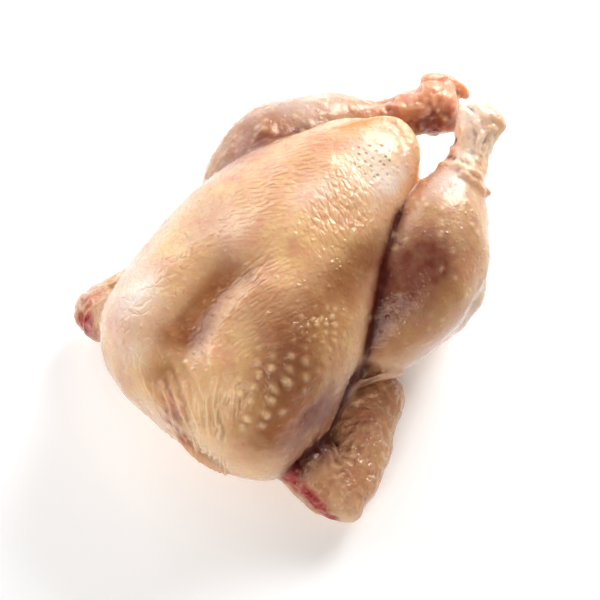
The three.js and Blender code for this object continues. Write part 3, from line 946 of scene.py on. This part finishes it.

# %% What shows through it, and painted shade and light
STAIN_COLOURS = [  # mask, colour, strength
    ("orange", "#e8964e", 0.85),
    # golden skin, partly painted shade
    ("golden", "#b48048", 0.55),
    # brown skin, partly painted shade
    ("tan", "#9a6236", 0.78),
    ("yellow", "#e0b478", 0.7),
    ("pink", "#e0927a", 0.6),
    # pale skin, and a painted sheen where the wet skin catches the lamps
    ("lilac", "#f9eadf", 0.9),
    ("meat", "#844335", 0.9),
    # painted shade in the hollows and along the clefts
    ("hollow", "#641f0e", 0.9),
    # painted shade, deepest in the clefts
    ("cleft", "#561a0e", 0.9),
    ("raw", "#ac1a22", 0.97),
    # cream on the crests, partly a painted highlight
    ("tip", "#f4d9b0", 0.3),
    ("papule", "#f6e2bc", 0.5),
    ("rope", "#f9dab4", 0.8),
]
lobules = node(tree, "TexNoise", {"Vector": place, "Scale": 1 / LOBULE, "Detail": 2, "Roughness": 0.5})
patchy = node(tree, "MapRange", {
    "Value": lobules, "From Min": 0.25, "From Max": 0.75, "To Min": 0.85, "To Max": 1.12,
})
for mask, code, strength in STAIN_COLOURS:
    broken = node(tree, "Math", {0: shown[mask], 1: patchy}, **PRODUCT)
    layers.append((node(tree, "Math", {0: broken, 1: strength}, use_clamp=True, **PRODUCT), code))
print(len(layers), "layers of colour")

# %% [markdown]
# ## Raw poultry skin: its finest relief
# Between the feather bumps the skin is creased into long narrow cells, and on the wings it is cobbled.
# Those are a few tenths of a millimetre deep, too fine for the mesh, so they are a bump. Voronoi cells
# give both: the distance to a cell's edge makes a crease, and the distance to its middle a cobble or a
# pore. A chart stretches and turns the cells along the skin, a slow noise makes them stray, and a mask
# says where each kind is. All heights are in millimetres.

# %% Cells that follow a chart, and cells in the solid
CREASES = [  # mask, chart, turn of the cells in degrees, their length and width in mm, height in mm
    ("wrinkles", "breast_chart", 48, 9.0, 2.9, 0.48),
    ("middle", "breast_chart", -24, 6.4, 3.0, 0.42),
    ("lower", "breast_chart", 78, 7.0, 2.8, 0.26),
    ("folds", "fold_chart", 0, 11.0, 3.4, 0.42),
]
CELLS = [  # mask, stray and width of a cell in mm, what is measured, the step's start and end, height
    ("crinkled", 6, 6.0, "DISTANCE_TO_EDGE", 0.0, 0.16, 0.32),
    ("cobbled", 3, 5.0, "F1", 0.85, 0.0, 0.8),
    ("cobbled", 3, 2.6, "F1", 0.7, 0.0, 0.3),
]
STRAY_SIZE, CREASE_STRAY = 7 * MM, (2 * MM,) * 3
wander = node(tree, "TexNoise", {"Vector": place, "Scale": 1 / STRAY_SIZE, "Detail": 1}).outputs["Color"]
distances = []  # mask, distance, the step's start and end, height
for mask, chart, turn, long, wide, tall in CREASES:
    strayed = node(tree, "VectorMath", {0: wander, 1: CREASE_STRAY, 2: flat[chart]},
                   operation="MULTIPLY_ADD")
    laid = node(tree, "Mapping", {
        "Vector": strayed, "Rotation": (0, 0, math.radians(turn)), "Scale": (long * MM, wide * MM, 1),
    }, vector_type="TEXTURE")
    edge = node(tree, "TexVoronoi", {"Vector": laid, "Scale": 1.0},
                feature="DISTANCE_TO_EDGE", voronoi_dimensions="2D")
    distances.append((mask, edge, 0.0, 0.4, tall))
for mask, stray, wide, measured, low, high, tall in CELLS:
    reach = (stray * MM,) * 3
    strayed = node(tree, "VectorMath", {0: wander, 1: reach, 2: place}, operation="MULTIPLY_ADD")
    cell = node(tree, "TexVoronoi", {"Vector": strayed, "Scale": 1 / (wide * MM)}, feature=measured)
    distances.append((mask, cell, low, high, tall))
print(len(distances), "kinds of cells")

# %% Heights from the cells
CRUMPLE, FOLLICLE, CRUMPLE_HEIGHT, FOLLICLE_HEIGHT = 2.4 * MM, 4.2 * MM, 0.42, 0.22
crumple = node(tree, "TexNoise", {"Vector": place, "Scale": 1 / CRUMPLE, "Detail": 4, "Roughness": 0.55})
follicle = node(tree, "TexVoronoi", {"Vector": place, "Scale": 1 / FOLLICLE})
heights = [
    node(tree, "Math", {0: crumple, 1: CRUMPLE_HEIGHT}, **PRODUCT),
    node(tree, "MapRange", {
        "Value": follicle, "From Min": 0.36, "From Max": 0.05, "To Max": FOLLICLE_HEIGHT,
    }, **SMOOTH),
]
for mask, distance, low, high, tall in distances:
    raised = node(tree, "MapRange", {
        "Value": distance, "From Min": low, "From Max": high, "To Max": tall,
    }, **SMOOTH)
    heights.append(node(tree, "Math", {0: raised, 1: shown[mask]}, **PRODUCT))
print(len(heights), "heights")

# %% Open pores by the breast's tip
PORE_SPACING, PORE_TURN = 4.6 * MM, math.radians(2)
PORE_DEPTH, PORE_COLOUR, PORE_STAIN = 0.28, "#a08a66", 0.55
laid = node(tree, "Mapping", {
    "Vector": flat["breast_chart"], "Rotation": (0, 0, PORE_TURN),
    "Scale": (PORE_SPACING, PORE_SPACING, 1),
}, vector_type="TEXTURE")
pits = node(tree, "TexVoronoi", {"Vector": laid, "Scale": 1, "Randomness": 0.55}, voronoi_dimensions="2D")
pit = node(tree, "MapRange", {"Value": pits, "From Min": 0.26, "From Max": 0.1}, **SMOOTH)
where = node(tree, "MapRange", {"Value": shown["pores"], "From Min": 0.35, "From Max": 0.6}, **SMOOTH)
pore = node(tree, "Math", {0: pit, 1: where}, **PRODUCT)
heights.append(node(tree, "Math", {0: pore, 1: -PORE_DEPTH}, **PRODUCT))
layers.append((node(tree, "Math", {0: pore, 1: PORE_STAIN}, **PRODUCT), PORE_COLOUR))
print("pores", round(PORE_SPACING / MM, 1), "mm apart")

# %% All colours in one, and all heights in one bump
colour = linear(SKIN)
for amount, code in layers:
    colour = node(tree, "Mix", {0: amount, 6: colour, 7: linear(code)}, data_type="RGBA").outputs[2]
relief = heights[0]
for more in heights[1:]:
    relief = node(tree, "Math", {0: relief, 1: more}, operation="ADD")
bump = node(tree, "Bump", {"Height": relief, "Distance": MM, "Strength": 1.0})
print(len(layers), "layers of colour and", len(heights), "of fine relief")

# %% [markdown]
# ## Raw poultry skin: its gloss
# Light gets into fat and comes out warm a few millimetres away, red furthest, which is what Subsurface
# is for. The water on top is the Coat: nearly smooth, with the index of a thin brine, and on the same
# bump, so that each crease breaks the highlight. A noise makes the film uneven, the breast's tip and
# the right cuff are satin because they have dried a little, and deep in the clefts there is no film.

# %% Wet film and shader
FILM_PATCH, DRIED_ROUGHNESS = 11 * MM, 0.22
film = node(tree, "TexNoise", {"Vector": place, "Scale": 1 / FILM_PATCH, "Detail": 3})
uneven_film = node(tree, "MapRange", {
    "Value": film, "From Min": 0.35, "From Max": 0.7, "To Max": 0.2,
}, **SMOOTH)
dried = node(tree, "Math", {0: shown["satin"], 1: DRIED_ROUGHNESS}, **PRODUCT)
coat_roughness = node(tree, "Math", {0: uneven_film, 1: dried}, operation="ADD")
coat = node(tree, "MapRange", {"Value": shown["cleft"], "From Min": 0.9, "From Max": 0.1}, **SMOOTH)
shader = node(tree, "BsdfPrincipled", {
    "Base Color": colour, "Roughness": 0.42, "Normal": bump, "IOR": 1.4,
    "Subsurface Weight": 0.55, "Subsurface Radius": (1.0, 0.42, 0.22), "Subsurface Scale": 3.5 * MM,
    "Coat Weight": coat, "Coat Roughness": coat_roughness, "Coat IOR": 1.42, "Coat Normal": bump,
})
node(tree, "OutputMaterial", {"Surface": shader})
skin.data.materials.append(poultry_skin)
print("raw poultry skin of", len(tree.nodes), "nodes")

# %% [markdown]
# ## The floor
# The bird lies on a plain pale surface. A single flat face is enough, because it is only there to catch
# the shadow. A little light of its own keeps it from turning grey at the edges.

# %% Floor
FLOOR_SIDE = 6000  # mm
half = FLOOR_SIDE / 2
floor_corners = np.array([(-half, -half, 0), (half, -half, 0), (half, half, 0), (-half, half, 0)])
floor = mesh_object("floor", floor_corners, [(0, 1, 2, 3)])
pale_paint = bpy.data.materials.new("pale_matt_paint")
pale_paint.use_nodes = True
pale_paint.node_tree.nodes.clear()
paint = node(pale_paint.node_tree, "BsdfPrincipled", {
    "Base Color": linear("#eff2f6"), "Roughness": 0.9, "Specular IOR Level": 0.1,
    "Emission Color": linear("#ffffff"), "Emission Strength": 0.22,
})
node(pale_paint.node_tree, "OutputMaterial", {"Surface": paint})
floor.data.materials.append(pale_paint)
print("floor", FLOOR_SIDE, "mm wide")

# %% [markdown]
# ## The light
# Wet skin is lit like glass: what shows is the reflection of the lamps, so they are large soft panels.
# The key stands low on the bird's left, one behind draws the wet edge on the tail side, and a weak one
# fills the front. The surroundings light the bird dimly but look pale to the camera, so that the view
# past the floor's edge is light too.

# %% Surroundings and lamps
CONTRAST = 0.82  # a gamma below 1 makes the shades deeper
scene = bpy.context.scene
scene.view_settings.view_transform = "Standard"
scene.view_settings.gamma = CONTRAST
surroundings = bpy.data.worlds.new("surroundings")
surroundings.use_nodes = True
sky = surroundings.node_tree
sky.nodes.clear()
lighting = node(sky, "Background", {"Color": linear("#fff2e4"), "Strength": 0.09})
seen = node(sky, "Background", {"Color": linear("#f4f4f4"), "Strength": 0.8})
by_camera = node(sky, "LightPath", {}).outputs["Is Camera Ray"]
either = node(sky, "MixShader", {0: by_camera, 1: lighting, 2: seen})
node(sky, "OutputWorld", {"Surface": either})
scene.world = surroundings
LIGHTS = [  # name, colour, place in metres, width and height in metres, power in watts
    ("key", "#f4f9ff", (-1.1, -0.05, 0.6), (1.3, 0.75), 11),
    ("back", "#ffffff", (-0.1, 1.15, 0.7), (0.72, 0.72), 18.5),
    ("front", "#fff6ec", (0.5, -0.9, 1.1), (1.0, 1.0), 12.5),
]
for name, tint, place_m, (wide, high), power in LIGHTS:
    lamp = bpy.data.lights.new(name, "AREA")
    lamp.color = linear(tint)[:3]
    lamp.shape, lamp.size, lamp.size_y, lamp.energy = "RECTANGLE", wide, high, power
    made = bpy.data.objects.new(name, lamp)
    made.location = place_m
    made.rotation_euler = (Vector((0, 0, 0.05)) - made.location).to_track_quat("-Z", "Y").to_euler()
    scene.collection.objects.link(made)
print(len(LIGHTS), "lamps")

# %% [markdown]
# ## The camera
# The camera looks down steeply over the neck and the right wing. It is far away with a long lens, so
# the near end isn't swollen.

# %% Camera
VIEW_AZIMUTH, VIEW_HEIGHT, VIEW_DISTANCE = 42, 66, 1.275
VIEW_TARGET = np.array([13.3, -21.3, 51.0]) * MM
FOCAL_LENGTH = 148.5  # on a 36 mm wide sensor
camera = bpy.data.objects.new("camera", bpy.data.cameras.new("camera"))
camera.data.sensor_width, camera.data.lens = 36, FOCAL_LENGTH
azimuth, elevation = math.radians(VIEW_AZIMUTH), math.radians(VIEW_HEIGHT)
level = math.cos(elevation)
back = np.array([math.sin(azimuth) * level, -math.cos(azimuth) * level, math.sin(elevation)])
camera.location = VIEW_TARGET + VIEW_DISTANCE * back
camera.rotation_euler = (math.pi / 2 - elevation, 0, azimuth)
scene.collection.objects.link(camera)
scene.camera = camera
print("camera at", [round(c, 3) for c in camera.location], "m")
